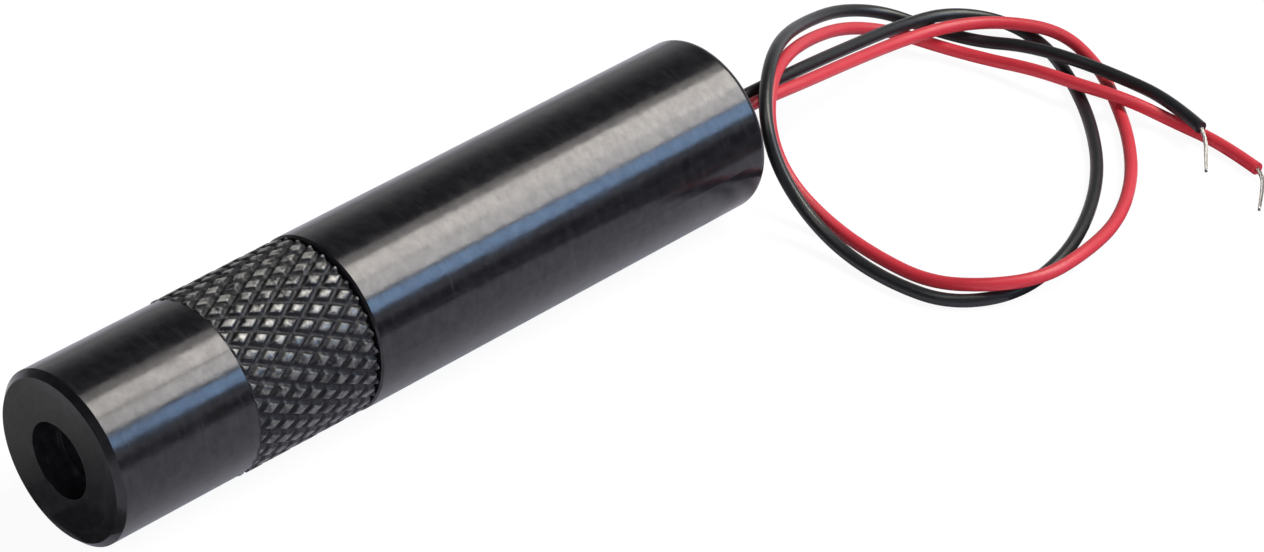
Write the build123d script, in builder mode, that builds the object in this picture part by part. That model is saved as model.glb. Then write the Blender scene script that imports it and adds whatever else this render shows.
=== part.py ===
from build123d import *
import os
from math import atan2, cos, pi, radians, sin, tan

os.makedirs("parts", exist_ok=True)

# Laser diode module: a black anodised barrel with a knurled focusing head, lying on its side
# on a surface at z = 0. Lengths are in millimetres. The optical axis runs along Y: the beam
# leaves the head towards -Y, and the two leads leave the back towards +Y.
# A station is a distance along the axis, counted backwards from the front face of the head.

# Barrel
module_length = 63.0
barrel_diameter = 14.0
barrel_wall = 1.0
barrel_front_chamfer = 0.15
barrel_back_radius = 0.6

# Focusing head, outside. Its steps are how far each surface lies below the barrel's.
nose_step = 0.15
nose_length = 12.5
nose_chamfer = 0.5
grip_length = 11.1
grip_step = 0.06
focus_gap = 0.25
spigot_step = 1.5
spigot_length = 8.0
spigot_chamfer = 0.4

# Knurl on the grip
knurl_pitch = 1.235
knurl_angle = 28.5
knurl_depth = 0.36
knurl_top_share = 0.45
knurl_first_angle = 33.25
knurl_first_station = 13.65

# Focusing head, inside
aperture_diameter = 6.0
aperture_depth = 2.1
beam_bore_diameter = 5.0
lens_seat_station = 22.4
lens_pocket_depth = 4.2
lens_pocket_step = 0.5
spigot_wall = 1.0

# Lens and its ring
lens_thickness = 1.6
lens_dome_height = 0.8
lens_dome_margin = 0.1
lens_ring_thickness = 1.2
lens_ring_wall = 1.1
spanner_slot_width = 0.8
spanner_slot_depth = 0.5

# Spring and washer
washer_thickness = 0.4
washer_wall = 1.4
spring_play = 0.15
spring_wire_width = 0.5
spring_wire_height = 0.6
spring_turns = 3
closed_coil_margin = 0.05

# Diode and its holder
socket_depth = 9.15
holder_length = 8.5
can_hole_diameter = 4.4
diode_seat_depth = 1.5
diode_base_diameter = 5.6
diode_base_thickness = 1.2
diode_can_diameter = 3.55
diode_can_flange_diameter = 4.2
diode_can_flange_thickness = 0.25
diode_can_height = 2.3
diode_can_wall = 0.15
diode_window_hole = 1.6
diode_window_diameter = 2.6
diode_window_thickness = 0.25
chip_block_width = 1.2
chip_block_height = 0.95
chip_block_length = 1.2
chip_width = 0.3
chip_height = 0.12
chip_length = 0.5
pin_diameter = 0.45
pin_circle_diameter = 2.0
pin_front_length = 0.5
pin_solder_length = 1.4
pin_seal_diameter = 0.95
clamp_ring_diameter = 7.2
clamp_ring_bore = 3.2
clamp_ring_thickness = 1.5

# Driver board. Places along it are counted from its front edge.
board_gap = 0.3
lead_room = 2.2
board_thickness = 0.5
board_corner = 0.5
sleeve_thickness = 0.25
ic_offset = 5.7
ic_size = (3.9, 4.9, 1.45)
ic_leg_pitch = 1.27
ic_leg_width = 0.42
ic_leg_thickness = 0.2
ic_leg_reach = 1.05
capacitor_offset = (-2.0, 11.4)
capacitor_size = (2.8, 3.5, 1.9)
transistor_offset = (2.1, 11.4)
transistor_size = (1.3, 2.9, 1.0)
chip_part_size = (1.25, 2.0)
resistor_height = 0.5
resistor_offset = 4.7
resistor_count = 3
resistor_spacing = 2.4
chip_capacitor_height = 0.9
chip_capacitor_offset = 8.7
chip_capacitor_count = 2
chip_capacitor_spacing = 3.4
terminal_length = 0.4
terminal_skin = 0.04

# Solder
solder_film = 0.03
solder_height = 0.65
solder_width = 0.9
solder_radius = 0.2

# Back of the barrel
plug_thickness = 2.2
plug_recess = 0.4
plug_chamfer = 0.3
plug_hole_diameter = 3.0
seal_bead_diameter = 4.2
seal_bead_height = 0.35

# Leads: outside of the insulation, and the tinned strands
lead_diameter = 1.05
core_diameter = 0.38
lead_spacing = 1.12

# Clearances, on the radius unless said otherwise
thread_clearance = 0.05
seat_clearance = 0.02
press_clearance = 0.01
washer_play = 0.05

# Routes of the free leads, from the board's back edge to the stripped ends. The two leads are
# tied in one loose knot. Each list is the corner points of the lead's centre line.
axis_height = barrel_diameter / 2
black_route = [
    (-lead_spacing / 2, 26.9, axis_height),
    (-lead_spacing / 2, 35.8, axis_height),
    (-1.6, 44.2, 5.8),
    (-3.0, 51.6, 4.1),
    (-3.8, 57.8, 2.9),
    (-3.5, 63.3, 2.0),
    (-0.7, 67.0, 0.9),
    (4.2, 66.9, 0.6),
    (9.6, 64.1, 0.6),
    (14.7, 60.5, 0.6),
    (19.6, 55.8, 0.6),
    (23.4, 50.2, 0.6),
    (25.8, 44.5, 0.6),
    (26.5, 38.6, 0.6),
    (23.8, 34.1, 0.6),
    (18.9, 32.8, 0.6),
    (13.5, 33.4, 0.8),
    (9.1, 33.9, 2.2),
    (6.0, 33.5, 5.0),
    (3.5, 34.6, 7.9),
    (0.0, 38.6, 9.0),
    (-3.3, 43.4, 8.1),
    (-6.3, 49.2, 5.8),
    (-8.0, 54.9, 3.8),
    (-7.2, 59.4, 2.1),
    (-3.7, 61.5, 1.0),
    (0.4, 62.8, 0.7),
    (4.6, 64.5, 1.45),
    (8.8, 64.5, 1.8),
    (13.2, 65.2, 1.8),
    (17.8, 65.8, 2.05),
    (22.1, 65.0, 1.8),
]
red_route = [
    (lead_spacing / 2, 26.9, axis_height),
    (lead_spacing / 2, 34.6, axis_height),
    (0.0, 42.6, 5.8),
    (-1.3, 49.8, 4.2),
    (-2.0, 56.2, 3.0),
    (-1.4, 61.4, 2.5),
    (0.8, 65.4, 2.1),
    (4.6, 68.2, 1.65),
    (9.4, 67.4, 0.7),
    (13.6, 64.6, 0.6),
    (18.0, 61.2, 0.6),
    (22.2, 56.8, 0.6),
    (25.3, 51.6, 0.7),
    (27.2, 46.0, 1.6),
    (27.3, 40.8, 1.9),
    (25.0, 37.3, 1.65),
    (20.9, 35.2, 0.6),
    (15.8, 34.7, 0.6),
    (10.7, 35.2, 1.0),
    (6.5, 35.6, 2.8),
    (3.7, 36.2, 5.6),
    (1.0, 38.4, 7.8),
    (-1.9, 42.4, 7.5),
    (-4.4, 47.8, 5.7),
    (-6.0, 53.6, 3.6),
    (-5.0, 58.0, 1.8),
    (-2.0, 60.0, 0.9),
    (2.4, 61.4, 0.9),
    (6.8, 62.2, 1.6),
    (11.2, 62.8, 1.85),
    (15.4, 64.0, 1.8),
    (19.2, 65.6, 0.6),
    (23.6, 65.9, 0.6),
    (27.9, 65.1, 0.6),
]
black_tip_route = [(22.1, 65.0, 1.8), (23.0, 64.6, 1.3), (23.8, 63.7, 0.7), (25.0, 62.4, 0.2)]
red_tip_route = [(27.9, 65.1, 0.6), (28.8, 64.7, 0.5), (29.8, 63.5, 0.3), (31.4, 61.2, 0.2)]

# Radii and stations that follow from the sizes above
barrel_radius = barrel_diameter / 2
barrel_bore = barrel_radius - barrel_wall
nose_radius = barrel_radius - nose_step
grip_radius = barrel_radius - grip_step
spigot_radius = barrel_radius - spigot_step
socket_radius = spigot_radius + thread_clearance
aperture_radius = aperture_diameter / 2
beam_bore = beam_bore_diameter / 2
spring_bore = spigot_radius - spigot_wall
lens_pocket = spring_bore - lens_pocket_step
pin_radius = pin_diameter / 2
pin_circle = pin_circle_diameter / 2
lead_radius = lead_diameter / 2
core_radius = core_diameter / 2

grip_end = nose_length + grip_length
barrel_front = grip_end + focus_gap
spigot_end = grip_end + spigot_length
lens_back = lens_seat_station + lens_thickness
lens_shoulder = lens_seat_station + lens_pocket_depth
washer_front = lens_shoulder + washer_play
spring_front = washer_front + washer_thickness
holder_front = barrel_front + socket_depth
holder_back = holder_front + holder_length
diode_seat = holder_front + diode_seat_depth
diode_base_back = diode_seat + diode_base_thickness
clamp_ring_back = diode_base_back + clamp_ring_thickness
board_front = holder_back + board_gap
pin_end = board_front + pin_solder_length
plug_back = module_length - plug_recess
plug_front = plug_back - plug_thickness
board_back = plug_front - lead_room
board_length = board_back - board_front
ic_station = board_front + ic_offset
resistor_station = board_front + resistor_offset
chip_capacitor_station = board_front + chip_capacitor_offset

# Heights of the board's faces above the axis: a film of solder lies between it and the side pins
board_top = -pin_radius - solder_film
board_bottom = board_top - board_thickness
sleeve_radius = barrel_bore - seat_clearance
sleeve_bore = sleeve_radius - sleeve_thickness
board_half_width = (sleeve_bore**2 - board_bottom**2) ** 0.5 - seat_clearance


def station_y(station):
    """Place along Y of a station."""
    return station - module_length / 2


def across(station):
    """Plane square to the axis, with up as its Y. An extrusion from it goes backwards."""
    return Plane(origin=(0, station_y(station), axis_height), x_dir=(-1, 0, 0), z_dir=(0, 1, 0))


def level(height):
    """Level plane, at a height over the axis, whose Y is the station."""
    return Plane(origin=(0, station_y(0), axis_height + height))


# Half section through the axis: X is the radius and Y the station
half_section = level(0)
optical_axis = Axis((0, 0, axis_height), (0, 1, 0))


# Knurl: flat-topped diamonds, left between two families of grooves that cross at equal and
# opposite angles to the axis. The diamonds stand in rows round the grip, staggered by half a
# diamond. Their flanks meet in the grooves, just clear of a round core that they stand in.
knurl_count = round(2 * pi * grip_radius * cos(radians(knurl_angle)) / knurl_pitch)
diamond_width = 2 * pi * grip_radius / knurl_count
diamond_length = diamond_width / tan(radians(knurl_angle))
half_pitch = diamond_width * cos(radians(knurl_angle)) / 2
half_top = half_pitch * knurl_top_share
flank_angle = atan2(half_pitch - half_top, knurl_depth)
core_clearance = 0.05
foot_sink = 0.11
grip_core = grip_radius - knurl_depth - core_clearance
diamond_foot = grip_core - foot_sink


def knurl_diamond(station):
    """One diamond, on top of a grip whose axis is Z, trimmed to the grip's two ends."""
    with BuildPart() as diamond:
        with BuildSketch(Plane(origin=(diamond_foot, 0, station), x_dir=(0, 1, 0), z_dir=(1, 0, 0))):
            Rectangle(2 * diamond_width, 2 * diamond_length)
        extrude(amount=grip_radius - diamond_foot)
        for side in (-1, 1):
            for end in (-1, 1):
                outwards = Vector(0, side * cos(radians(knurl_angle)), end * sin(radians(knurl_angle)))
                top_edge = Vector(grip_radius, 0, station) + outwards * half_top
                flank_normal = outwards * cos(flank_angle) + Vector(sin(flank_angle), 0, 0)
                split(bisect_by=Plane(origin=top_edge, z_dir=flank_normal), keep=Keep.BOTTOM)
        with BuildSketch(Plane.XY.offset(nose_length)):
            Circle(2 * grip_radius)
        extrude(amount=grip_length, mode=Mode.INTERSECT)
    return diamond.part


row_spacing = diamond_length / 2
row_angle = 180 / knurl_count
first_row = -int((knurl_first_station + row_spacing - nose_length) / row_spacing)
last_row = int((grip_end + row_spacing - knurl_first_station) / row_spacing)
diamond_rows = {
    row: knurl_diamond(knurl_first_station + row * row_spacing) for row in range(first_row, last_row + 1)
}

# Focusing head: nose, knurled grip and spigot, turned from one bar
head_plane = Plane(origin=(0, station_y(0), axis_height), x_dir=(0, 0, 1), z_dir=(0, 1, 0))
with BuildPart(head_plane) as focus_head:
    with BuildSketch(half_section):
        with BuildLine():
            Polyline(
                (aperture_radius, 0),
                (nose_radius - nose_chamfer, 0),
                (nose_radius, nose_chamfer),
                (nose_radius, nose_length),
                (grip_core, nose_length),
                (grip_core, grip_end),
                (spigot_radius, grip_end),
                (spigot_radius, spigot_end - spigot_chamfer),
                (spigot_radius - spigot_chamfer, spigot_end),
                (spring_bore, spigot_end),
                (spring_bore, lens_shoulder),
                (lens_pocket, lens_shoulder),
                (lens_pocket, lens_seat_station),
                (beam_bore, lens_seat_station),
                (beam_bore, aperture_depth),
                (aperture_radius, aperture_depth),
                close=True,
            )
        make_face()
    revolve(axis=optical_axis)
    for parity in (0, 1):
        rows = [diamond for row, diamond in diamond_rows.items() if row % 2 == parity]
        with PolarLocations(0, knurl_count, start_angle=knurl_first_angle + parity * row_angle):
            add(rows)
focus_head.part.label = "focus_head"
export_step(focus_head.part, "parts/focus_head.step")

# Collimating lens: a dome with a flat rim, seated against the end of the beam bore
lens_radius = lens_pocket - seat_clearance
lens_dome_radius = beam_bore - lens_dome_margin
with BuildPart() as lens:
    with BuildSketch(half_section):
        with BuildLine():
            Polyline(
                (lens_dome_radius, lens_seat_station),
                (lens_radius, lens_seat_station),
                (lens_radius, lens_back),
                (0, lens_back),
                (0, lens_seat_station - lens_dome_height),
            )
            TangentArc(
                (0, lens_seat_station - lens_dome_height),
                (lens_dome_radius, lens_seat_station),
                tangent=(1, 0),
            )
        make_face()
    revolve(axis=optical_axis)
lens.part.label = "lens"
export_step(lens.part, "parts/lens.step")

# Ring screwed in behind the lens, with two slots for a spanner
with BuildPart() as lens_retaining_ring:
    with BuildSketch(across(lens_back)):
        Circle(lens_pocket - seat_clearance)
        Circle(lens_pocket - lens_ring_wall, mode=Mode.SUBTRACT)
    extrude(amount=lens_ring_thickness)
    with BuildSketch(across(lens_back + lens_ring_thickness)):
        Rectangle(2 * lens_pocket, spanner_slot_width)
    extrude(amount=-spanner_slot_depth, mode=Mode.SUBTRACT)
lens_retaining_ring.part.label = "lens_retaining_ring"
export_step(lens_retaining_ring.part, "parts/lens_retaining_ring.step")

# Thrust washer: it follows the head in and out, and the spring keeps it from turning
washer_radius = spring_bore - thread_clearance
with BuildPart() as thrust_washer:
    with BuildSketch(across(washer_front)):
        Circle(washer_radius)
        Circle(spring_bore - washer_wall, mode=Mode.SUBTRACT)
    extrude(amount=washer_thickness)
thrust_washer.part.label = "thrust_washer"
export_step(thrust_washer.part, "parts/thrust_washer.step")

# Focus spring: flat wire between the washer and the holder, with a closed coil at each end
# that is a little wider and thicker than the wire
closed_coil_width = spring_wire_width + 2 * closed_coil_margin
closed_coil_height = spring_wire_height + 2 * closed_coil_margin
spring_radius = spring_bore - spring_play - closed_coil_width / 2
spring_rise = holder_front - spring_front - closed_coil_height
with BuildPart() as focus_spring:
    with BuildLine():
        coil = Helix(
            pitch=spring_rise / spring_turns,
            height=spring_rise,
            radius=spring_radius,
            center=(0, station_y(spring_front + closed_coil_height / 2), axis_height),
            direction=(0, 1, 0),
        )
    coil_start = coil @ 0
    outwards = coil_start - Vector(0, coil_start.Y, axis_height)
    with BuildSketch(Plane(origin=coil_start, x_dir=outwards, z_dir=coil % 0)):
        Rectangle(spring_wire_width, spring_wire_height)
    sweep(path=coil, is_frenet=True)
    with BuildSketch(across(spring_front), across(holder_front - closed_coil_height)):
        Circle(spring_radius + closed_coil_width / 2)
        Circle(spring_radius - closed_coil_width / 2, mode=Mode.SUBTRACT)
    extrude(amount=closed_coil_height)
focus_spring.part.label = "focus_spring"
export_step(focus_spring.part, "parts/focus_spring.step")

# Barrel: threaded socket for the head in front, plain bore for the diode and the board behind
with BuildPart() as barrel:
    with BuildSketch(half_section) as barrel_section:
        with BuildLine():
            Polyline(
                (socket_radius, barrel_front),
                (barrel_radius - barrel_front_chamfer, barrel_front),
                (barrel_radius, barrel_front + barrel_front_chamfer),
                (barrel_radius, module_length),
                (barrel_bore, module_length),
                (barrel_bore, holder_front),
                (socket_radius, holder_front),
                close=True,
            )
        make_face()
        back_corner = barrel_section.vertices().group_by(Axis.Y)[-1].sort_by(Axis.X)[-1]
        fillet(back_corner, radius=barrel_back_radius)
    revolve(axis=optical_axis)
barrel.part.label = "barrel"
export_step(barrel.part, "parts/barrel.step")

# Diode holder: brass block pressed in up to the barrel's shoulder
can_hole = can_hole_diameter / 2
base_bore = diode_base_diameter / 2 + seat_clearance
ring_bore = clamp_ring_diameter / 2 + seat_clearance
with BuildPart() as diode_holder:
    with BuildSketch(half_section):
        with BuildLine():
            Polyline(
                (can_hole, holder_front),
                (barrel_bore - press_clearance, holder_front),
                (barrel_bore - press_clearance, holder_back),
                (ring_bore, holder_back),
                (ring_bore, diode_base_back),
                (base_bore, diode_base_back),
                (base_bore, diode_seat),
                (can_hole, diode_seat),
                close=True,
            )
        make_face()
    revolve(axis=optical_axis)
diode_holder.part.label = "diode_holder"
export_step(diode_holder.part, "parts/diode_holder.step")

# Places of the three pins on their circle: two beside the axis, soldered to the board's top,
# and the common one below, welded to the back of the base and soldered to the board's bottom
side_pins = [(-pin_circle, 0), (pin_circle, 0)]
common_pin = (0, -pin_circle)
pin_seal = pin_seal_diameter / 2

# Diode base: the round header, with the block that carries the chip and two holes for seals
with BuildPart() as diode_base:
    with BuildSketch(across(diode_seat)):
        Circle(diode_base_diameter / 2)
        with Locations(*side_pins):
            Circle(pin_seal, mode=Mode.SUBTRACT)
    extrude(amount=diode_base_thickness)
    with BuildSketch(across(diode_seat)):
        with Locations((0, -chip_height)):
            Rectangle(chip_block_width, chip_block_height, align=(Align.CENTER, Align.MAX))
    extrude(amount=-chip_block_length)
diode_base.part.label = "diode_base"
export_step(diode_base.part, "parts/diode_base.step")

# Laser chip: on the block, with its bright edge level with the block's front, on the axis
with BuildPart() as diode_chip:
    with BuildSketch(across(diode_seat - chip_block_length)):
        Rectangle(chip_width, chip_height, align=(Align.CENTER, Align.MAX))
    extrude(amount=chip_length)
diode_chip.part.label = "diode_chip"
export_step(diode_chip.part, "parts/diode_chip.step")

# Glass seals round the side pins
with BuildPart() as pin_seals:
    with BuildSketch(across(diode_seat)):
        with Locations(*side_pins):
            Circle(pin_seal)
            Circle(pin_radius, mode=Mode.SUBTRACT)
    extrude(amount=diode_base_thickness)
pin_seals.part.label = "pin_seals"
export_step(pin_seals.part, "parts/pin_seals.step")

# Diode pins: the side pins pass through the base, the common pin starts at its back
with BuildPart() as diode_pins:
    with BuildSketch(across(diode_seat - pin_front_length)):
        with Locations(*side_pins):
            Circle(pin_radius)
    extrude(amount=pin_end - diode_seat + pin_front_length)
    with BuildSketch(across(diode_base_back)):
        with Locations(common_pin):
            Circle(pin_radius)
    extrude(amount=pin_end - diode_base_back)
diode_pins.part.label = "diode_pins"
export_step(diode_pins.part, "parts/diode_pins.step")

# Diode can: a flanged cap over the chip, with a hole in front for the light
can_radius = diode_can_diameter / 2
can_flange = diode_can_flange_diameter / 2
can_front = diode_seat - diode_can_height
can_flange_front = diode_seat - diode_can_flange_thickness
with BuildPart() as diode_can:
    with BuildSketch(half_section):
        with BuildLine():
            Polyline(
                (diode_window_hole / 2, can_front),
                (can_radius, can_front),
                (can_radius, can_flange_front),
                (can_flange, can_flange_front),
                (can_flange, diode_seat),
                (can_radius - diode_can_wall, diode_seat),
                (can_radius - diode_can_wall, can_front + diode_can_wall),
                (diode_window_hole / 2, can_front + diode_can_wall),
                close=True,
            )
        make_face()
    revolve(axis=optical_axis)
diode_can.part.label = "diode_can"
export_step(diode_can.part, "parts/diode_can.step")

# Window: a glass disc sealed inside the can's front
with BuildPart() as diode_window:
    with BuildSketch(across(can_front + diode_can_wall)):
        Circle(diode_window_diameter / 2)
    extrude(amount=diode_window_thickness)
diode_window.part.label = "diode_window"
export_step(diode_window.part, "parts/diode_window.step")

# Ring that holds the diode's base in its seat
with BuildPart() as diode_clamp_ring:
    with BuildSketch(across(diode_base_back)):
        Circle(clamp_ring_diameter / 2)
        Circle(clamp_ring_bore / 2, mode=Mode.SUBTRACT)
    extrude(amount=clamp_ring_thickness)
diode_clamp_ring.part.label = "diode_clamp_ring"
export_step(diode_clamp_ring.part, "parts/diode_clamp_ring.step")

# Insulating sleeve between the board and the barrel
with BuildPart() as insulating_sleeve:
    with BuildSketch(across(holder_back)):
        Circle(sleeve_radius)
        Circle(sleeve_bore, mode=Mode.SUBTRACT)
    extrude(amount=plug_front - holder_back)
insulating_sleeve.part.label = "insulating_sleeve"
export_step(insulating_sleeve.part, "parts/insulating_sleeve.step")

# Driver board, just below the axis, so that the side pins and the strands lie along its top
with BuildPart() as circuit_board:
    with BuildSketch(level(board_top)):
        with Locations((0, (board_front + board_back) / 2)):
            RectangleRounded(2 * board_half_width, board_length, board_corner)
    extrude(amount=-board_thickness)
circuit_board.part.label = "circuit_board"
export_step(circuit_board.part, "parts/circuit_board.step")


# Driver chip: a moulded body with four legs on each side
ic_width, ic_length, ic_height = ic_size
ic_leg_foot = 0.3
ic_standoff = 0.1
ic_leg_top = ic_standoff + (ic_height - ic_standoff) / 2
leg_start = ic_width / 2 - ic_leg_thickness
leg_bend = ic_width / 2 + ic_leg_reach - 2 * ic_leg_foot
leg_end = ic_width / 2 + ic_leg_reach
ic_leg_section = [
    (leg_start, ic_leg_top),
    (leg_bend, ic_leg_top),
    (leg_end - ic_leg_foot, ic_leg_thickness),
    (leg_end, ic_leg_thickness),
    (leg_end, 0),
    (leg_end - ic_leg_foot - ic_leg_thickness, 0),
    (leg_bend - ic_leg_thickness, ic_leg_top - ic_leg_thickness),
    (leg_start, ic_leg_top - ic_leg_thickness),
]
ic_middle = Plane(
    origin=(0, station_y(ic_station), axis_height + board_top), x_dir=(1, 0, 0), z_dir=(0, -1, 0)
)
with BuildPart() as driver_ic:
    with BuildSketch(level(board_top + ic_standoff)):
        with Locations((0, ic_station)):
            Rectangle(ic_width, ic_length)
    extrude(amount=ic_height - ic_standoff)
    leg_offsets = [(leg - 1.5) * ic_leg_pitch for leg in range(4)]
    with BuildSketch(*[ic_middle.offset(offset - ic_leg_width / 2) for offset in leg_offsets]):
        with BuildLine():
            Polyline(*ic_leg_section, close=True)
        make_face()
        mirror(about=Plane.YZ)
    extrude(amount=ic_leg_width)
driver_ic.part.label = "driver_ic"
export_step(driver_ic.part, "parts/driver_ic.step")

# Tantalum capacitor: a moulded block with a parting line and a metal foot at each end
capacitor_x = capacitor_offset[0]
capacitor_station = board_front + capacitor_offset[1]
capacitor_width, capacitor_length, capacitor_height = capacitor_size
capacitor_draft = 5
foot_width = 0.8 * capacitor_width
with BuildPart() as tantalum_capacitor:
    middle = level(board_top + capacitor_height / 2)
    with BuildSketch(middle):
        with Locations((capacitor_x, capacitor_station)):
            Rectangle(capacitor_width, capacitor_length)
    extrude(amount=capacitor_height / 2, both=True, taper=capacitor_draft)
    for end in (-1, 1):
        foot_station = capacitor_station + end * (capacitor_length / 2 - terminal_length / 2)
        with BuildSketch(level(board_top)):
            with Locations((capacitor_x, foot_station + end * terminal_skin)):
                Rectangle(foot_width, terminal_length)
        extrude(amount=capacitor_height / 2)
tantalum_capacitor.part.label = "tantalum_capacitor"
export_step(tantalum_capacitor.part, "parts/tantalum_capacitor.step")

# Power transistor: a small moulded body with two legs on one side and one on the other
transistor_width, transistor_length, transistor_height = transistor_size
transistor_x = transistor_offset[0]
transistor_station = board_front + transistor_offset[1]
transistor_leg_width = 0.4
transistor_leg_reach = 0.6
transistor_leg_pitch = 1.9
leg_middle = transistor_width / 2 + transistor_leg_reach / 2 - ic_leg_thickness / 2
with BuildPart() as power_transistor:
    with BuildSketch(level(board_top + ic_standoff)):
        with Locations((transistor_x, transistor_station)):
            Rectangle(transistor_width, transistor_length)
    extrude(amount=transistor_height - ic_standoff)
    with BuildSketch(level(board_top)):
        with Locations(
            (transistor_x - leg_middle, transistor_station),
            (transistor_x + leg_middle, transistor_station - transistor_leg_pitch / 2),
            (transistor_x + leg_middle, transistor_station + transistor_leg_pitch / 2),
        ):
            Rectangle(transistor_leg_reach + ic_leg_thickness, transistor_leg_width)
    extrude(amount=ic_leg_thickness)
power_transistor.part.label = "power_transistor"
export_step(power_transistor.part, "parts/power_transistor.step")


def chip_parts(count, spacing, station, height):
    """A row of chip parts under the board, each with a metal cap at both ends."""
    width, length = chip_part_size
    with BuildPart() as chips:
        with BuildSketch(level(board_bottom)):
            with Locations((0, station)):
                with GridLocations(spacing, 1, count, 1):
                    Rectangle(width, length)
        extrude(amount=-height + terminal_skin)
        with BuildSketch(level(board_bottom)):
            with Locations((0, station)):
                with GridLocations(spacing, length - terminal_length, count, 2):
                    Rectangle(width, terminal_length)
        extrude(amount=-height)
    return chips


# Chip resistors and chip capacitors, under the board
chip_resistors = chip_parts(resistor_count, resistor_spacing, resistor_station, resistor_height)
chip_resistors.part.label = "chip_resistors"
export_step(chip_resistors.part, "parts/chip_resistors.step")

chip_capacitors = chip_parts(
    chip_capacitor_count, chip_capacitor_spacing, chip_capacitor_station, chip_capacitor_height
)
chip_capacitors.part.label = "chip_capacitors"
export_step(chip_capacitors.part, "parts/chip_capacitors.step")

# Solder joints: side pins and strands on the board's top, the common pin on its bottom
lead_start_station = black_route[0][1] + module_length / 2
strand_places = [(route[0][0], route[0][2] - axis_height) for route in (black_route, red_route)]
pin_joint_station = (board_front + pin_end) / 2
strand_joint_station = board_back - pin_solder_length / 2
top_joints = [(x, pin_joint_station) for x, _ in side_pins]
top_joints += [(x, strand_joint_station) for x, _ in strand_places]
with BuildPart() as solder_joints:
    with BuildSketch(level(board_top)):
        with Locations(*top_joints):
            Rectangle(solder_width, pin_solder_length)
    extrude(amount=solder_height)
    with BuildSketch(level(board_bottom)):
        with Locations((common_pin[0], pin_joint_station)):
            Rectangle(solder_width, pin_solder_length)
    extrude(amount=-solder_height)
    level_rims = solder_joints.edges().filter_by(Axis.Z, reverse=True).group_by(Axis.Z)
    fillet(level_rims[0] + level_rims[-1], radius=solder_radius)
    with BuildSketch(across(board_front)):
        with Locations(*side_pins, common_pin):
            Circle(pin_radius)
    extrude(amount=pin_solder_length, mode=Mode.SUBTRACT)
    with BuildSketch(across(board_back - pin_solder_length)):
        with Locations(*[(-x, height) for x, height in strand_places]):
            Circle(core_radius)
    extrude(amount=pin_solder_length, mode=Mode.SUBTRACT)
solder_joints.part.label = "solder_joints"
export_step(solder_joints.part, "parts/solder_joints.step")

# Rear plug: closes the back of the barrel, a little below its rim
with BuildPart() as rear_plug:
    with BuildSketch(half_section):
        with BuildLine():
            Polyline(
                (plug_hole_diameter / 2, plug_front),
                (barrel_bore - press_clearance, plug_front),
                (barrel_bore - press_clearance, plug_back - plug_chamfer),
                (barrel_bore - press_clearance - plug_chamfer, plug_back),
                (plug_hole_diameter / 2, plug_back),
                close=True,
            )
        make_face()
    revolve(axis=optical_axis)
rear_plug.part.label = "rear_plug"
export_step(rear_plug.part, "parts/rear_plug.step")

# Seal: compound that fills the plug's hole and swells into a bead round the leads
seal_radius = plug_hole_diameter / 2 - press_clearance
with BuildPart() as lead_seal:
    with BuildSketch(half_section):
        with BuildLine():
            Polyline(
                (0, plug_back + seal_bead_height),
                (0, plug_front),
                (seal_radius, plug_front),
                (seal_radius, plug_back),
                (seal_bead_diameter / 2, plug_back),
            )
            TangentArc(
                (0, plug_back + seal_bead_height), (seal_bead_diameter / 2, plug_back), tangent=(1, 0)
            )
        make_face()
    revolve(axis=optical_axis)
    with BuildSketch(across(plug_front)):
        with Locations(*[(-x, height) for x, height in strand_places]):
            Circle(lead_radius + press_clearance)
    extrude(amount=module_length - plug_front, mode=Mode.SUBTRACT)
lead_seal.part.label = "lead_seal"
export_step(lead_seal.part, "parts/lead_seal.step")


def bend_radii(route):
    """Largest arc for each corner of a route: it takes 0.45 of the shorter run beside it."""
    points = [Vector(*point) for point in route]
    runs = [end - start for start, end in zip(points, points[1:])]
    radii = []
    for before, after in zip(runs, runs[1:]):
        half_turn = radians(before.get_angle(after)) / 2
        radii.append(0.45 * min(before.length, after.length) / tan(half_turn))
    return radii


def tube(route, radius, name):
    """Round tube along a route of straight runs joined by tangent arcs."""
    radii = bend_radii(route)
    with BuildPart() as bent_tube:
        with BuildLine() as path:
            FilletPolyline(*route, radius=radii)
        with BuildSketch(Plane(origin=path.wire() @ 0, z_dir=path.wire() % 0)):
            Circle(radius)
        sweep(path=path.wire())
    length = path.wire().length
    volume_share = bent_tube.part.volume / (pi * radius**2 * length)
    print(name, "length", round(length, 1), "volume over section times length", round(volume_share, 4))
    print(name, "bend radii", [round(bend, 1) for bend in radii])
    return bent_tube


# Insulated leads, free behind the module
black_lead = tube(black_route, lead_radius, "black_lead")
black_lead.part.label = "black_lead"
export_step(black_lead.part, "parts/black_lead.step")

red_lead = tube(red_route, lead_radius, "red_lead")
red_lead.part.label = "red_lead"
export_step(red_lead.part, "parts/red_lead.step")


def strands(route, tip_route, name):
    """Both bare ends of a lead's tinned strands: soldered to the board, and free."""
    with BuildPart() as bare_ends:
        add(tube(tip_route, core_radius, name).part)
        with BuildSketch(across(board_back - pin_solder_length)):
            with Locations((-route[0][0], route[0][2] - axis_height)):
                Circle(core_radius)
        extrude(amount=lead_start_station - board_back + pin_solder_length)
    return bare_ends


black_lead_core = strands(black_route, black_tip_route, "black_lead_core")
black_lead_core.part.label = "black_lead_core"
export_step(black_lead_core.part, "parts/black_lead_core.step")

red_lead_core = strands(red_route, red_tip_route, "red_lead_core")
red_lead_core.part.label = "red_lead_core"
export_step(red_lead_core.part, "parts/red_lead_core.step")
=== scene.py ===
import math

import bmesh
import bpy
from mathutils import Matrix, Vector


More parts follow.
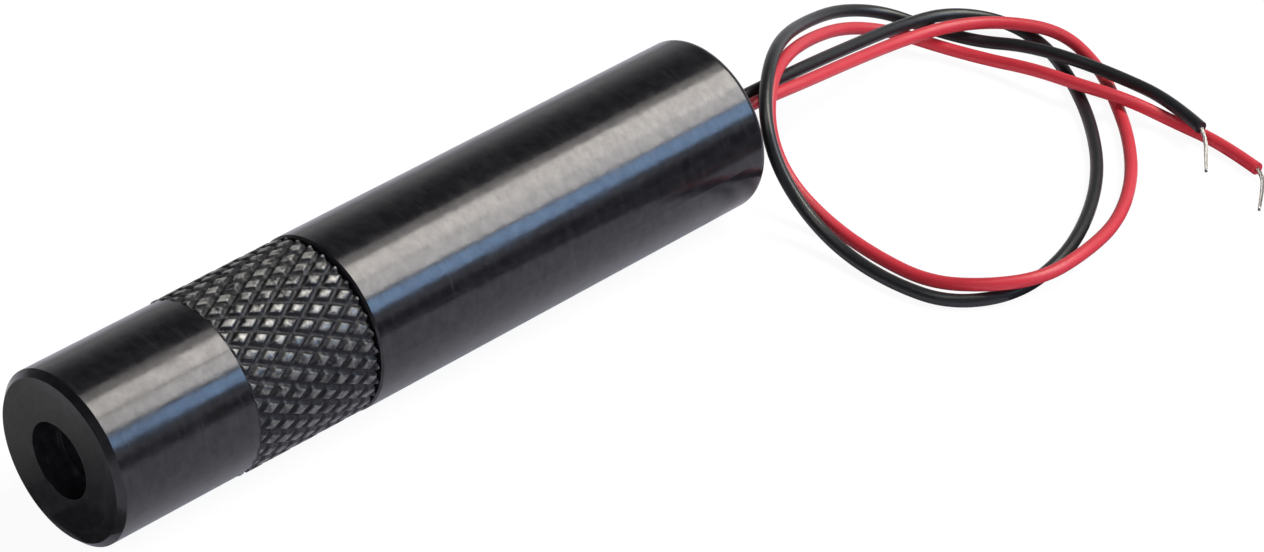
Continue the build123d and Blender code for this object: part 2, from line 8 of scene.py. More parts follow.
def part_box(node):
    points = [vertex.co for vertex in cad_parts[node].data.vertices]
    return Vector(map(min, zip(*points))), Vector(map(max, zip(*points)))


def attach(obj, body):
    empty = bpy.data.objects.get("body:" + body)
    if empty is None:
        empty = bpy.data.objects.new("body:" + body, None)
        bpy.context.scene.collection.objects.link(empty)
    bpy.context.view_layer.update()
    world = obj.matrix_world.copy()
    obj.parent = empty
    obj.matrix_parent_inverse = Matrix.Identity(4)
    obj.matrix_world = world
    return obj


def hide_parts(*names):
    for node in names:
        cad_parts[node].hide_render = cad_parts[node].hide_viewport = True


# Looks of the laser diode module, in metres, in the CAD's frame: the barrel lies along Y on a
# surface at z = 0, the beam leaves towards -Y, and the two leads leave the back towards +Y.
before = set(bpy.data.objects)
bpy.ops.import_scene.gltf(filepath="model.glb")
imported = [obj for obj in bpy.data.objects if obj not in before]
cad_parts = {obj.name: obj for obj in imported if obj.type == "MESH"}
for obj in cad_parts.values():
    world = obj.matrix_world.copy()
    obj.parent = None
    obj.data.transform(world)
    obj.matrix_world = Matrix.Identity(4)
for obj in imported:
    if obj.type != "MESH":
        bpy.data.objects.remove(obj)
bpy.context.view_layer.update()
MM = 0.001

AXIS_HEIGHT = 7.0 * MM
SPIGOT_RADIUS = 5.5 * MM
THREAD_PITCH = 0.5 * MM
KNURL_START, KNURL_END = -19.0 * MM, -7.9 * MM
KNURL_ROOT = 6.45 * MM
KNURL_TIP = 6.94 * MM

LEAD_DIAMETER = 1.05 * MM
CORE_DIAMETER = 0.38 * MM
OUTER_STRANDS = 6
STRAND_SIDES = 8
STRAND_LAY = 3.2 * MM
TIP_TAPER = 0.35

# The anodised finish. Edges are rounded by their wear. The knurl's tips are rubbed bare in patches,
# and painted paler still near an angle from its top towards +X, where they catch the key light: a
# painted highlight. Each depth is the relief's, where its height goes from 0 to 1.
DYE = (0.0075, 0.0072, 0.0095)
RUBBED_METAL_AND_HIGHLIGHT = (0.26, 0.256, 0.248)
MOST_FADED = 0.028
EDGE_WEAR = 0.05 * MM
KNURL_WEAR = 0.34 * MM
# Centre of the painted highlight on the knurl's tips, from its top towards +X
HIGHLIGHT_PAINT_ANGLE = math.radians(15)
TIP_METAL_AND_HIGHLIGHT = 0.1
CLOUD_DULLING = 0.26
# Share of metal that darkens the knurl's grooves: painted shade
GROOVE_SHADE_PAINT = 0.42
TORN_DEPTH = 0.11 * MM
HANDLED_DEPTH = 0.009 * MM
TURNED_DEPTH = 0.0014 * MM
THREAD_DEPTH = 0.3 * MM

# The photograph's camera
PHOTO_WIDTH = 1264
FOCAL_PIXELS = 4797
SENSOR_WIDTH = 36.0
CAMERA_AZIMUTH = 46.04
CAMERA_ELEVATION = 34.43
CAMERA_DISTANCE = 351.9 * MM
CAMERA_TARGET = Vector((11.7, 12.6, 7.4)) * MM

# Soft lights that the barrel mirrors to the camera: name, the two angles from its top towards +X
# between which it shows the light, distance, colour and radiance
MIRRORED_LIGHTS = [
    ("key_spill", 18, 24, 0.55, (1.0, 0.97, 0.88), 2.6),
    ("key_panel_high", 24, 36, 0.55, (1.0, 0.965, 0.855), 11.0),
    ("key_panel_low", 36, 46.5, 0.55, (1.0, 0.99, 0.91), 8.8),
    ("cool_panel", 48, 56, 0.6, (0.4, 0.66, 1.0), 6.6),
]
MIRRORED_LIGHT_LENGTH = 0.26
AIMED_LIGHT_COLOUR = (1.0, 0.98, 0.96)

# The room's own light, as a strength
HORIZON_LEVEL, OVERHEAD_LEVEL = 0.62, 0.04
BEAM_SIDE_SHARE = 0.25

# The floor, and how much of its glow the camera sees and glossy or clear pieces show
FLOOR_HALF_WIDTH = 4.0
FLOOR_COLOUR = (0.7, 0.69, 0.79, 1)
FLOOR_GLOW = 1.1
GLOW_SEEN, GLOW_MIRRORED = 0.84, 0.12

# Cards that only show in glossy finishes. The upright one is where the barrel mirrors it at this
# angle. Those on the floor: name, grey, height over the floor and two corners, in millimetres. The
# three in front are a painted shadow of the module on the floor, darkest nearest it, which its
# front face mirrors.
SIDE_CARD_ANGLE = 64
SIDE_CARD_GREY = 0.01
FLOOR_CARDS = [
    # Painted shadow in front of the module, mirrored only by its front face
    ("far_painted_shadow_card", 0.42, 0.2, (-22, -42), (10, -32.5)),
    ("near_painted_shadow_card", 0.24, 0.3, (-6.5, -37), (9.5, -32.2)),
    ("nearest_painted_shadow_card", 0.08, 0.4, (-2.5, -35), (9, -32)),
    ("back_card", 0.01, 0.2, (24, 38), (200, 200)),
]

# Routes of the leads and of their bare tips, in millimetres: the CAD's, with some points moved to
# follow the photograph
BLACK_ROUTE = [
    (-0.56, 26.9, 7.0),
    (-0.56, 35.8, 7.0),
    (-1.6, 44.2, 5.8),
    (-3.0, 51.6, 4.1),
    (-3.8, 57.8, 2.9),
    (-3.5, 63.3, 2.0),
    (-0.7, 67.0, 0.9),
    (4.2, 66.9, 0.6),
    (9.6, 64.1, 0.6),
    (14.7, 60.5, 0.6),
    (19.6, 55.8, 0.6),
    (23.4, 50.2, 0.6),
    (25.8, 44.5, 0.6),
    (26.5, 38.6, 0.6),
    (23.8, 34.1, 0.6),
    (18.8, 32.95, 0.6),
    (13.5, 33.1, 0.8),
    (9.0, 33.5, 2.2),
    (6.0, 33.5, 5.0),
    (3.5, 34.6, 7.9),
    (0.0, 38.6, 9.05),
    (-3.3, 43.4, 8.1),
    (-6.3, 49.2, 5.8),
    (-8.0, 54.9, 3.8),
    (-7.2, 59.4, 2.1),
    (-3.7, 61.5, 1.0),
    (0.2, 63.0, 0.9),
    (3.9, 64.2, 1.7),
    (8.0, 65.1, 2.0),
    (12.8, 65.9, 1.95),
    (18.0, 66.0, 2.05),
    (22.1, 65.0, 1.8),
]
RED_ROUTE = [
    (0.56, 26.9, 7.0),
    (0.56, 34.6, 7.0),
    (0.0, 42.6, 5.8),
    (-1.3, 49.8, 4.2),
    (-2.0, 56.2, 3.0),
    (-1.4, 61.4, 2.5),
    (0.8, 65.4, 2.1),
    (4.6, 68.2, 1.65),
    (9.4, 67.4, 0.7),
    (13.6, 64.6, 0.6),
    (18.0, 61.2, 0.6),
    (22.2, 56.8, 0.6),
    (25.3, 51.6, 0.7),
    (27.2, 46.0, 1.6),
    (27.7, 40.5, 1.9),
    (25.5, 36.7, 1.85),
    (21.0, 35.0, 0.7),
    (15.9, 34.7, 0.6),
    (10.4, 35.0, 0.9),
    (5.7, 35.2, 2.6),
    (2.9, 35.8, 5.5),
    (0.6, 38.2, 7.95),
    (-1.9, 42.4, 7.5),
    (-4.4, 47.8, 5.7),
    (-6.0, 53.6, 3.6),
    (-5.0, 58.0, 1.8),
    (-2.0, 60.0, 0.9),
    (2.4, 61.4, 0.9),
    (6.8, 62.2, 1.6),
    (11.2, 62.8, 1.85),
    (15.4, 64.0, 1.8),
    (19.2, 65.6, 0.6),
    (23.6, 65.9, 0.6),
    (27.9, 65.1, 0.6),
]
BLACK_TIP_ROUTE = [(22.1, 65.0, 1.8), (23.0, 64.6, 1.3), (23.8, 63.7, 0.7), (25.0, 62.4, 0.2)]
RED_TIP_ROUTE = [(27.9, 65.1, 0.6), (28.8, 64.7, 0.5), (29.8, 63.5, 0.3), (31.4, 61.2, 0.2)]


class Shader:
    """A node material under construction: short calls that make and link its nodes."""

    def __init__(self, name):
        self.material = bpy.data.materials.new(name)
        self.material.use_nodes = True
        self.nodes = self.material.node_tree.nodes
        self.links = self.material.node_tree.links
        self.surface = self.nodes["Principled BSDF"]
        self.output = self.nodes["Material Output"]

    def node(self, kind, inputs=(), **settings):
        made = self.nodes.new(kind)
        for key, value in settings.items():
            setattr(made, key, value)
        for key, value in dict(inputs).items():
            self.feed(made, key, value)
        return made

    def feed(self, node, key, value):
        if isinstance(value, bpy.types.NodeSocket):
            self.links.new(value, node.inputs[key])
        else:
            node.inputs[key].default_value = value

    def set(self, **inputs):
        for key, value in inputs.items():
            self.feed(self.surface, key.replace("_", " "), value)

    def math(self, operation, *values):
        return self.node("ShaderNodeMath", dict(enumerate(values)), operation=operation).outputs[0]

    def product(self, value, *factors):
        for factor in factors:
            value = self.math("MULTIPLY", value, factor)
        return value

    def combined(self, x, y, z=0.0):
        return self.node("ShaderNodeCombineXYZ", {"X": x, "Y": y, "Z": z}).outputs[0]

    def place(self, scale=(1, 1, 1)):
        """Point of the surface in the object's own space, in millimetres times the scale."""
        coordinate = self.node("ShaderNodeTexCoord").outputs["Object"]
        factors = [axis / MM for axis in scale]
        return self.node(
            "ShaderNodeVectorMath", {0: coordinate, 1: factors}, operation="MULTIPLY"
        ).outputs[0]

    def noise(self, place, scale, detail=2.0, roughness=0.5):
        return self.node(
            "ShaderNodeTexNoise",
            {"Vector": place, "Scale": scale, "Detail": detail, "Roughness": roughness},
        ).outputs["Fac"]

    def between(self, value, low, high, start=0.0, end=1.0, smooth=False):
        """Value taken from the range low to high, to the range start to end, and clamped."""
        inputs = {"Value": value, "From Min": low, "From Max": high, "To Min": start, "To Max": end}
        kind = "SMOOTHSTEP" if smooth else "LINEAR"
        return self.node("ShaderNodeMapRange", inputs, interpolation_type=kind).outputs[0]

    def blend(self, factor, first, second):
        """Colour between two others."""
        mix = self.node("ShaderNodeMix", {"Factor": factor}, data_type="RGBA")
        mix.inputs[6].default_value = (*first, 1)
        mix.inputs[7].default_value = (*second, 1)
        return mix.outputs[2]

    def bump(self, height, distance, normal=None):
        inputs = {"Height": height, "Distance": distance, "Strength": 1.0}
        if normal:
            inputs["Normal"] = normal
        return self.node("ShaderNodeBump", inputs).outputs[0]


def axis_coordinates(shader):
    """Distance along the module's axis, radius from it, and angle round it in turns."""
    split = shader.node("ShaderNodeSeparateXYZ", {0: shader.place()}).outputs
    height = shader.math("SUBTRACT", split["Z"], AXIS_HEIGHT / MM)
    squares = shader.math(
        "ADD", shader.product(split["X"], split["X"]), shader.product(height, height)
    )
    radius = shader.math("SQRT", squares)
    turn = shader.math("DIVIDE", shader.math("ARCTAN2", split["X"], height), 2 * math.pi)
    return split["Y"], radius, turn


def knurl_zone(shader, along, radius):
    """1 on the grip's knurl, and 0 elsewhere."""
    start, end, blend = KNURL_START / MM, KNURL_END / MM, 0.1
    after_start = shader.between(along, start - blend, start + blend)
    before_end = shader.between(along, end - blend, end + blend, 1.0, 0.0)
    outer = shader.math("GREATER_THAN", radius, KNURL_ROOT / MM)
    return shader.product(after_start, before_end, outer)


def rubbing_and_painted_highlight(shader, turn):
    """How bare the knurl's tips are, in patches, with a painted highlight that makes them paler
    most on the side where they catch the key light.
    """
    patches = shader.between(shader.noise(shader.place(), 1.7, detail=3.0), 0.38, 0.6)
    angle = shader.product(turn, 2 * math.pi)
    facing = shader.math("COSINE", shader.math("SUBTRACT", angle, HIGHLIGHT_PAINT_ANGLE))
    # Painted highlight: the tips are paler towards the angle where they catch the key light
    painted_highlight_side = shader.between(facing, 0.74, 0.92, 0.4, 1.0, smooth=True)
    return shader.product(patches, painted_highlight_side)


def spigot_thread(shader, along, radius, turn):
    """Height of the fine thread on the head's spigot."""
    advance = shader.math("DIVIDE", along, THREAD_PITCH / MM)
    wound = shader.math("FRACT", shader.math("ADD", advance, turn))
    ridge = shader.math("ABSOLUTE", shader.math("SUBTRACT", wound, 0.5))
    no_further_out = shader.math("LESS_THAN", radius, SPIGOT_RADIUS / MM + 0.02)
    no_further_in = shader.math("GREATER_THAN", radius, SPIGOT_RADIUS / MM - 0.1)
    return shader.product(ridge, no_further_out, no_further_in)


def anodised_black():
    """Turned aluminium, dyed black: fine rings, faint smudges, rubbed knurl tips with a painted
    highlight, painted shade in the knurl's grooves, and the thread.
    """
    shader = Shader("anodised_black")
    along, radius, turn = axis_coordinates(shader)
    rings_place = shader.combined(radius, along)
    knurled = knurl_zone(shader, along, radius)
    on_tips = shader.between(radius, KNURL_TIP / MM - 0.08, KNURL_TIP / MM - 0.03)

    # Colour: the dye, a little faded in streaks and blotches, and rubbed off the knurl's tips,
    # which are painted paler still where they catch the key light: a painted highlight
    streaks_place = shader.combined(along, shader.product(turn, 5.0), radius)
    streaks = shader.between(shader.noise(streaks_place, 2.6, detail=3.0), 0.52, 0.75)
    blotches = shader.noise(shader.place(), 1.1, detail=4.0, roughness=0.65)
    faded = shader.math("ADD", streaks, shader.between(blotches, 0.4, 0.7))
    rubbed_and_highlit_tips = shader.product(on_tips, rubbing_and_painted_highlight(shader, turn), knurled)
    pale = shader.math("MAXIMUM", rubbed_and_highlit_tips, shader.product(faded, MOST_FADED))

    # A share of metal, in so dark a colour, mirrors less: in clouds, and in the knurl's grooves,
    # where it is painted shade
    clouds_place = shader.combined(along, shader.product(turn, 30.0), radius)
    clouds = shader.noise(clouds_place, 1.4, detail=5.0, roughness=0.75)
    dull = shader.product(shader.between(clouds, 0.38, 0.66), CLOUD_DULLING)
    painted_groove_shade = shader.product(knurled, shader.between(on_tips, 0.0, 1.0, GROOVE_SHADE_PAINT, 0.0))
    dulling_and_groove_shade = shader.math("MAXIMUM", dull, painted_groove_shade)

    # Roughness: broad rings, smudges, and the knurl's torn grooves
    broad_rings = shader.between(shader.noise(rings_place, 0.7, detail=1.0), 0.3, 0.7, 0.15, 0.19)
    smudges = shader.noise(shader.place((1, 0.45, 1)), 0.35, detail=4.0, roughness=0.6)
    marks = shader.product(shader.between(smudges, 0.5, 0.72, smooth=True), 0.07)
    coarse = shader.product(knurled, shader.between(on_tips, 0.0, 1.0, 0.16, 0.05))
    roughness = shader.math("ADD", shader.math("ADD", broad_rings, marks), coarse)

    # Relief: rounded edges, torn metal in the knurl, uneven handling, fine rings and the thread
    wear = shader.between(knurled, 0.0, 1.0, EDGE_WEAR, KNURL_WEAR)
    relief = shader.node("ShaderNodeBevel", {"Radius": wear}, samples=8).outputs[0]
    torn = shader.noise(shader.place(), 2.2, detail=4.0, roughness=0.65)
    below_tips = shader.between(radius, KNURL_ROOT / MM + 0.2, KNURL_ROOT / MM + 0.47, 1.0, 0.35)
    for height, depth in (
        (shader.product(torn, knurled, below_tips), TORN_DEPTH),
        (shader.noise(shader.place((1, 0.6, 1)), 1.3, detail=3.0), HANDLED_DEPTH),
        (shader.noise(rings_place, 5.0, detail=3.0), TURNED_DEPTH),
        (spigot_thread(shader, along, radius, turn), THREAD_DEPTH),
    ):
        relief = shader.bump(height, depth, relief)

    shader.set(
        Base_Color=shader.blend(pale, DYE, RUBBED_METAL_AND_HIGHLIGHT),
        Metallic=shader.math("MAXIMUM", shader.product(rubbed_and_highlit_tips, TIP_METAL_AND_HIGHLIGHT), dulling_and_groove_shade),
        Roughness=roughness,
        IOR=1.54,
        Specular_Tint=(0.95, 0.935, 1.0, 1.0),
        Normal=relief,
    )
    return shader.material


def insulation(name, dark, light, roughness, coat):
    """Extruded wire insulation: slightly uneven in colour and gloss, with a fine grain."""
    shader = Shader(name)
    tone = shader.noise(shader.place(), 0.5, detail=2.0)
    grain = shader.noise(shader.place(), 6.0, detail=3.0)
    shader.set(
        Base_Color=shader.blend(tone, dark, light),
        Roughness=shader.between(grain, 0.3, 0.7, roughness, roughness + 0.12),
        IOR=1.45,
        Coat_Weight=coat,
        Coat_Roughness=0.3,
        Normal=shader.bump(grain, 0.004 * MM),
    )
    return shader.material


def tinned_copper():
    """Tinned strands: dull silver, a little darker in places."""
    shader = Shader("tinned_copper")
    tarnish = shader.noise(shader.place(), 2.5, detail=3.0)
    shader.set(
        Base_Color=shader.blend(tarnish, (0.36, 0.35, 0.34), (0.62, 0.61, 0.6)),
        Metallic=1.0,
        Roughness=shader.between(tarnish, 0.3, 0.7, 0.28, 0.42),
    )
    return shader.material


def coated_glass(name, tint, roughness):
    """Lens and window glass, with the faint tint of its coating."""
    shader = Shader(name)
    haze = shader.noise(shader.place(), 0.8, detail=2.0)
    shader.set(
        Base_Color=shader.blend(haze, tint, (0.95, 0.97, 1.0)),
        Roughness=roughness,
        IOR=1.52,
        Transmission_Weight=1.0,
    )
    return shader.material


def plain_finish(name, dark, light, roughness, metallic=0.0):
    """A small part's finish: two tones in a fine noise, which also roughens it."""
    shader = Shader(name)
    grain = shader.noise(shader.place(), 3.0, detail=3.0)
    shader.set(
        Base_Color=shader.blend(grain, dark, light),
        Metallic=metallic,
        Roughness=shader.between(grain, 0.3, 0.7, roughness - 0.05, roughness + 0.05),
        Normal=shader.bump(grain, 0.003 * MM),
    )
    return shader.material


def turned_metal(name, dark, light, roughness):
    """Bare turned metal, with rings round the module's axis."""
    shader = Shader(name)
    along, radius, _ = axis_coordinates(shader)
    rings = shader.noise(shader.combined(radius, along), 4.0, detail=2.0)
    shader.set(
        Base_Color=shader.blend(rings, dark, light),
        Metallic=1.0,
        Roughness=roughness,
        Normal=shader.bump(rings, 0.003 * MM),
    )
    return shader.material


def board_finish():
    """Green solder mask over faint copper tracks."""
    shader = Shader("board_finish")
    tracks = shader.node(
        "ShaderNodeTexBrick",
        {"Vector": shader.place(), "Scale": 0.6, "Mortar Size": 0.03, "Mortar Smooth": 0.2},
    ).outputs["Fac"]
    shader.set(
        Base_Color=shader.blend(tracks, (0.01, 0.11, 0.04), (0.03, 0.2, 0.07)),
        Roughness=0.35,
        Normal=shader.bump(tracks, 0.02 * MM),
    )
    return shader.material


def dress_cad_nodes():
    """Every CAD node that stays gets its own finish."""
    anodised = anodised_black()
    steel = turned_metal("spring_steel", (0.35, 0.35, 0.36), (0.6, 0.6, 0.61), 0.3)
    brass = turned_metal("turned_brass", (0.55, 0.38, 0.14), (0.78, 0.58, 0.26), 0.28)
    nickel = turned_metal("nickel_plate", (0.5, 0.48, 0.45), (0.68, 0.66, 0.62), 0.25)
    gilt = plain_finish("gold_plate", (0.7, 0.48, 0.16), (0.85, 0.62, 0.24), 0.25, metallic=1.0)
    solder = plain_finish("solder", (0.5, 0.5, 0.52), (0.72, 0.72, 0.74), 0.25, metallic=1.0)
    moulded = plain_finish("moulded_black", (0.012, 0.012, 0.012), (0.03, 0.03, 0.03), 0.6)
    yellow = plain_finish("moulded_yellow", (0.6, 0.34, 0.03), (0.8, 0.5, 0.06), 0.5)
    tan = plain_finish("fired_tan", (0.33, 0.22, 0.12), (0.5, 0.36, 0.22), 0.45)
    glazed = plain_finish("glazed_black", (0.01, 0.01, 0.015), (0.03, 0.03, 0.04), 0.3)
    film = plain_finish("sleeve_film", (0.02, 0.02, 0.02), (0.04, 0.04, 0.04), 0.4)
    plug = plain_finish("plug_plastic", (0.008, 0.008, 0.009), (0.02, 0.02, 0.021), 0.5)
    seal = plain_finish("sealing_compound", (0.006, 0.006, 0.007), (0.014, 0.014, 0.015), 0.22)
    finishes = {
        "barrel": anodised,
        "focus_head": anodised,
        "lens_retaining_ring": anodised,
        "lens": coated_glass("lens_glass", (0.78, 0.9, 0.86), 0.02),
        "thrust_washer": steel,
        "focus_spring": steel,
        "diode_holder": brass,
        "diode_clamp_ring": brass,
        "diode_base": gilt,
        "diode_pins": gilt,
        "diode_chip": plain_finish("chip_facets", (0.1, 0.1, 0.12), (0.22, 0.22, 0.25), 0.2),
        "diode_can": nickel,
        "diode_window": coated_glass("window_glass", (0.9, 0.94, 0.95), 0.01),
        "pin_seals": plain_finish("seal_glass", (0.02, 0.05, 0.05), (0.05, 0.09, 0.09), 0.2),
        "circuit_board": board_finish(),
        "driver_ic": moulded,
        "power_transistor": moulded,
        "tantalum_capacitor": yellow,
        "chip_resistors": glazed,
        "chip_capacitors": tan,
        "solder_joints": solder,
        "insulating_sleeve": film,
        "rear_plug": plug,
        "lead_seal": seal,
    }
    for name, material in finishes.items():
        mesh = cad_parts[name].data
        mesh.materials.clear()
        mesh.materials.append(material)


def add_object(name, data):
    """A new object of this data, in the scene."""
    made = bpy.data.objects.new(name, data)
    bpy.context.scene.collection.objects.link(made)
    return made


def lead_curve(name, route, diameter):
    """Smooth line whose control points are the route's, as a round tube."""
    curve = bpy.data.curves.new(name, "CURVE")
    curve.dimensions = "3D"
    spline = curve.splines.new("NURBS")
    spline.points.add(len(route) - 1)
    for point, corner in zip(spline.points, route):
        point.co = (*(Vector(corner) * MM), 1)
    spline.order_u = 3
    spline.use_endpoint_u = True
    curve.resolution_u = 12
    curve.bevel_depth = diameter / 2
    curve.bevel_resolution = 7
    curve.use_fill_caps = True
    return add_object(name, curve)


def line_points(name, route):
    """Points along a route's smooth line, close together."""
    line = lead_curve(name, route, 0)
    line.data.use_fill_caps = False
    mesh = bpy.data.meshes.new_from_object(line)
    points = [vertex.co.copy() for vertex in mesh.vertices]
    bpy.data.objects.remove(line)
    bpy.data.meshes.remove(mesh)
    return points


def line_length(points):
    return sum((end - start).length for start, end in zip(points, points[1:]))


def sideways(points):
    """For each point of a line, two directions across it that turn as little as they can."""
    directions = []
    side = Vector((0, 0, 1))
    for index in range(len(points)):
        ahead = points[min(index + 1, len(points) - 1)] - points[max(index - 1, 0)]
        ahead.normalize()
        side = (side - ahead * side.dot(ahead)).normalized()
        directions.append((side, ahead.cross(side)))
    return directions


def add_strand(mesh, points, radii):
    """Adds a closed round strand along the points, with a radius for each point."""
    rings = []
    for point, radius, (side, up) in zip(points, radii, sideways(points)):
        ring = []
        for step in range(STRAND_SIDES):
            angle = 2 * math.pi * step / STRAND_SIDES
            offset = (side * math.cos(angle) + up * math.sin(angle)) * radius
            ring.append(mesh.verts.new(point + offset))
        rings.append(ring)
    for ring, following in zip(rings, rings[1:]):
        for step in range(STRAND_SIDES):
            after = (step + 1) % STRAND_SIDES
            mesh.faces.new((ring[step], ring[after], following[after], following[step]))
    mesh.faces.new(list(reversed(rings[0])))
    mesh.faces.new(rings[-1])


def strand_bundle(name, lines, material):
    """Strands along each line: one in the middle and six wound round it, thinner to the end."""
    # Three strands side by side are as wide as the core
    strand_radius = CORE_DIAMETER / 6
    mesh = bmesh.new()
    for points in lines:
        travelled = 0.0
        total = line_length(points)
        centres = [[] for _ in range(OUTER_STRANDS + 1)]
        for index, (point, (side, up)) in enumerate(zip(points, sideways(points))):
            if index:
                travelled += (point - points[index - 1]).length
            opening = 1 - TIP_TAPER * travelled / total
            centres[0].append(point)
            for strand in range(OUTER_STRANDS):
                angle = 2 * math.pi * (strand / OUTER_STRANDS + travelled / STRAND_LAY)
                offset = side * math.cos(angle) + up * math.sin(angle)
                centres[strand + 1].append(point + offset * 2 * strand_radius * opening)
        for centre in centres:
            shares = [index / len(centre) for index in range(len(centre))]
            add_strand(mesh, centre, [strand_radius * (1 - TIP_TAPER * share) for share in shares])
    bmesh.ops.recalc_face_normals(mesh, faces=mesh.faces)
    data = bpy.data.meshes.new(name)
    mesh.to_mesh(data)
    mesh.free()
    for polygon in data.polygons:
        polygon.use_smooth = True
    data.materials.append(material)
    return add_object(name, data)


def make_lead(colour, route, tip_route, material, strands_material):
    """One lead: the insulated tube and its bare strands, outside and on the board."""
    lead = lead_curve(f"{colour}_wire", route, LEAD_DIAMETER)
    lead.data.materials.append(material)
    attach(lead, "module")
    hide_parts(f"{colour}_lead")
    start_x, board_start, start_z = (value * MM for value in route[0])
    board_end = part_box(f"{colour}_lead_core")[0].y
    board_places = (board_end, (board_end + board_start) / 2, board_start)
    inner = [Vector((start_x, y, start_z)) for y in board_places]
    tip = line_points(f"{colour}_tip_line", tip_route)
    strands = strand_bundle(f"{colour}_strands", [inner, tip], strands_material)
    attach(strands, "module")
    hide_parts(f"{colour}_lead_core")
    line_length(line_points(f"{colour}_line", route))


def towards_camera():
    """Direction from the module to the photograph's camera."""
    azimuth, elevation = math.radians(CAMERA_AZIMUTH), math.radians(CAMERA_ELEVATION)
    return Vector(
        (
            math.sin(azimuth) * math.cos(elevation),
            -math.cos(azimuth) * math.cos(elevation),
            math.sin(elevation),
        )
    )


def make_camera():
    """The photograph's camera: far off, with a long lens."""
    data = bpy.data.cameras.new("camera")
    data.sensor_width = SENSOR_WIDTH
    data.lens = FOCAL_PIXELS / PHOTO_WIDTH * SENSOR_WIDTH
    data.clip_start = 0.01
    data.clip_end = 20
    back = towards_camera()
    camera = add_object("camera", data)
    camera.location = CAMERA_TARGET + back * CAMERA_DISTANCE
    camera.rotation_euler = (-back).to_track_quat("-Z", "Y").to_euler()
    bpy.context.scene.camera = camera


def mirrored_direction(degrees):
    """What the barrel's skin, at this angle from its top towards +X, mirrors to the camera."""
    angle = math.radians(degrees)
    normal = Vector((math.sin(angle), 0, math.cos(angle)))
    view = towards_camera()
    return normal * 2 * normal.dot(view) - view


def soft_light(name, width, length, colour, radiance):
    """A rectangular light of this radiance, still to be placed."""
    data = bpy.data.lights.new(name, "AREA")
    data.shape = "RECTANGLE"
    data.size = width
    data.size_y = length
    data.color = colour
    data.energy = radiance * math.pi * width * length
    return add_object(name, data)


def mirrored_light(name, first_angle, last_angle, distance, colour, radiance):
    """A soft light that the barrel mirrors between two angles from its top towards +X."""
    first = mirrored_direction(first_angle)
    last = mirrored_direction(last_angle)
    width = 2 * distance * math.tan(first.angle(last) / 2)
    light = soft_light(name, width, MIRRORED_LIGHT_LENGTH, colour, radiance)
    middle = (first + last).normalized()
    right = (last - first).normalized()
    up = middle.cross(right).normalized()
    place = middle * distance + Vector((0, 0, AXIS_HEIGHT))
    turned = Matrix((right, up, middle)).transposed().to_4x4()
    light.matrix_world = Matrix.Translation(place) @ turned


def aimed_light(name, towards, width, length, distance, radiance):
    """A soft light in a given direction that points at the module."""
    light = soft_light(name, width, length, AIMED_LIGHT_COLOUR, radiance)
    towards = Vector(towards).normalized()
    turned = towards.to_track_quat("Z", "Y").to_matrix().to_4x4()
    light.matrix_world = Matrix.Translation(towards * distance) @ turned
    return light


def make_lights():
    """Studio light: a large warm panel in three steps, a small cool one, and two weak ones.

    The fill lifts the colours and isn't mirrored. The strip overhead is only mirrored: it
    shapes the barrel where it is seen from its sides.
    """
    for settings in MIRRORED_LIGHTS:
        mirrored_light(*settings)
    fill = aimed_light(
        "fill", (0.5, -0.75, 0.4), width=0.3, length=0.3, distance=0.5, radiance=4.5
    )
    fill.visible_glossy = False
    strip = aimed_light(
        "overhead_strip", (0, -0.17, 1), width=0.2, length=0.35, distance=0.55, radiance=3.0
    )
    strip.visible_diffuse = False


def make_world():
    """A room that is pale near the horizon, dark overhead, and dim where the beam points."""
    world = bpy.data.worlds.new("room")
    world.use_nodes = True
    nodes, links = world.node_tree.nodes, world.node_tree.links
    split = nodes.new("ShaderNodeSeparateXYZ")
    links.new(nodes.new("ShaderNodeTexCoord").outputs["Generated"], split.inputs[0])
    strength = nodes.new("ShaderNodeMath")
    strength.operation = "MULTIPLY"
    # Axis, where along it the fade starts and ends, and the factor at each
    fades = (
        ("Z", 0.05, 0.72, HORIZON_LEVEL, OVERHEAD_LEVEL),
        ("Y", -0.35, 0.1, BEAM_SIDE_SHARE, 1.0),
    )
    for factor, (axis, *limits) in zip(strength.inputs, fades):
        fade = nodes.new("ShaderNodeMapRange")
        fade.interpolation_type = "SMOOTHSTEP"
        for socket, limit in zip(("From Min", "From Max", "To Min", "To Max"), limits):
            fade.inputs[socket].default_value = limit
        links.new(split.outputs[axis], fade.inputs["Value"])
        links.new(fade.outputs[0], factor)
    background = nodes["Background"]
    background.inputs["Color"].default_value = (1.0, 1.0, 1.0, 1.0)
    links.new(strength.outputs[0], background.inputs["Strength"])
    bpy.context.scene.world = world


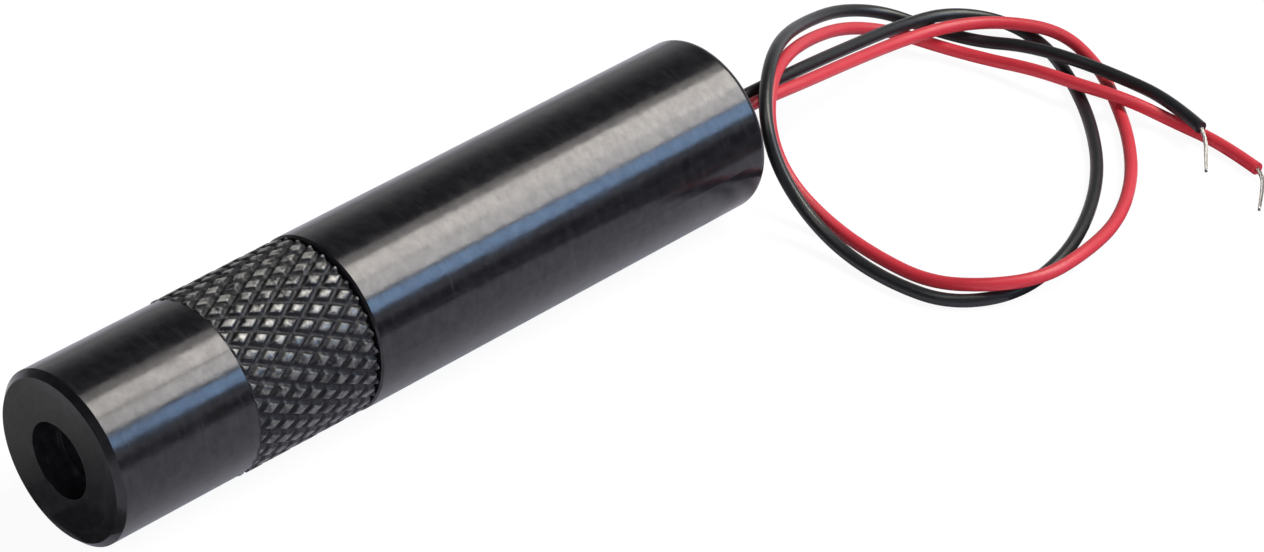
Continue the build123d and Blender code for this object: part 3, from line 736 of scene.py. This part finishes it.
def make_floor():
    """A plain white surface. It shows nearly white, and keeps the module's soft shadow."""
    shader = Shader("white_floor")
    shader.nodes.remove(shader.surface)
    paper = shader.node("ShaderNodeBsdfDiffuse", {"Color": FLOOR_COLOUR})
    glow = shader.node("ShaderNodeEmission", {"Color": (1, 1, 1, 1), "Strength": FLOOR_GLOW})
    path = shader.node("ShaderNodeLightPath").outputs
    seen = shader.product(path["Is Camera Ray"], GLOW_SEEN)
    by_pieces = shader.math("MAXIMUM", path["Is Glossy Ray"], path["Is Transmission Ray"])
    share = shader.math("MAXIMUM", seen, shader.product(by_pieces, GLOW_MIRRORED))
    mix = shader.node("ShaderNodeMixShader", {0: share, 1: paper.outputs[0], 2: glow.outputs[0]})
    shader.links.new(mix.outputs[0], shader.output.inputs["Surface"])
    half = FLOOR_HALF_WIDTH
    corners = [(-half, -half, 0), (half, -half, 0), (half, half, 0), (-half, half, 0)]
    data = bpy.data.meshes.new("floor")
    data.from_pydata(corners, [], [(0, 1, 2, 3)])
    data.materials.append(shader.material)
    add_object("floor", data)


def add_card(name, corners, grey):
    """A card, in metres, that shows only in glossy finishes."""
    data = bpy.data.meshes.new(name)
    data.from_pydata([tuple(corner) for corner in corners], [], [(0, 1, 2, 3)])
    shader = Shader(name)
    shader.set(Base_Color=(grey, grey, grey, 1), Roughness=0.9)
    data.materials.append(shader.material)
    card = add_object(name, data)
    card.visible_camera = False
    card.visible_diffuse = False
    card.visible_shadow = False


def make_cards():
    """Dark and grey cards: one upright beyond the module's right side, the others on the floor. The
    three grey ones in front are a painted shadow.
    """
    middle = mirrored_direction(SIDE_CARD_ANGLE)
    middle.z = 0
    middle.normalize()
    distance, half_width, low, high = 0.24, 0.2, 0.002, 0.05
    right = Vector((0, 0, 1)).cross(middle)
    corners = [
        middle * distance + right * (sign * half_width) + Vector((0, 0, height))
        for sign, height in ((-1, low), (1, low), (1, high), (-1, high))
    ]
    add_card("side_card", corners, SIDE_CARD_GREY)
    for name, grey, height, (low_x, low_y), (high_x, high_y) in FLOOR_CARDS:
        flat = [(low_x, low_y), (high_x, low_y), (high_x, high_y), (low_x, high_y)]
        add_card(name, [Vector((x, y, height)) * MM for x, y in flat], grey)


make_camera()
tinned = tinned_copper()
make_lead(
    "black",
    BLACK_ROUTE,
    BLACK_TIP_ROUTE,
    insulation("black_insulation", (0.01, 0.011, 0.013), (0.017, 0.018, 0.021), 0.28, 0.0),
    tinned,
)
make_lead(
    "red",
    RED_ROUTE,
    RED_TIP_ROUTE,
    insulation("red_insulation", (0.53, 0.025, 0.043), (0.61, 0.037, 0.056), 0.38, 0.05),
    tinned,
)
dress_cad_nodes()
make_world()
make_lights()
make_floor()
make_cards()

bpy.context.scene.view_settings.view_transform = "Standard"
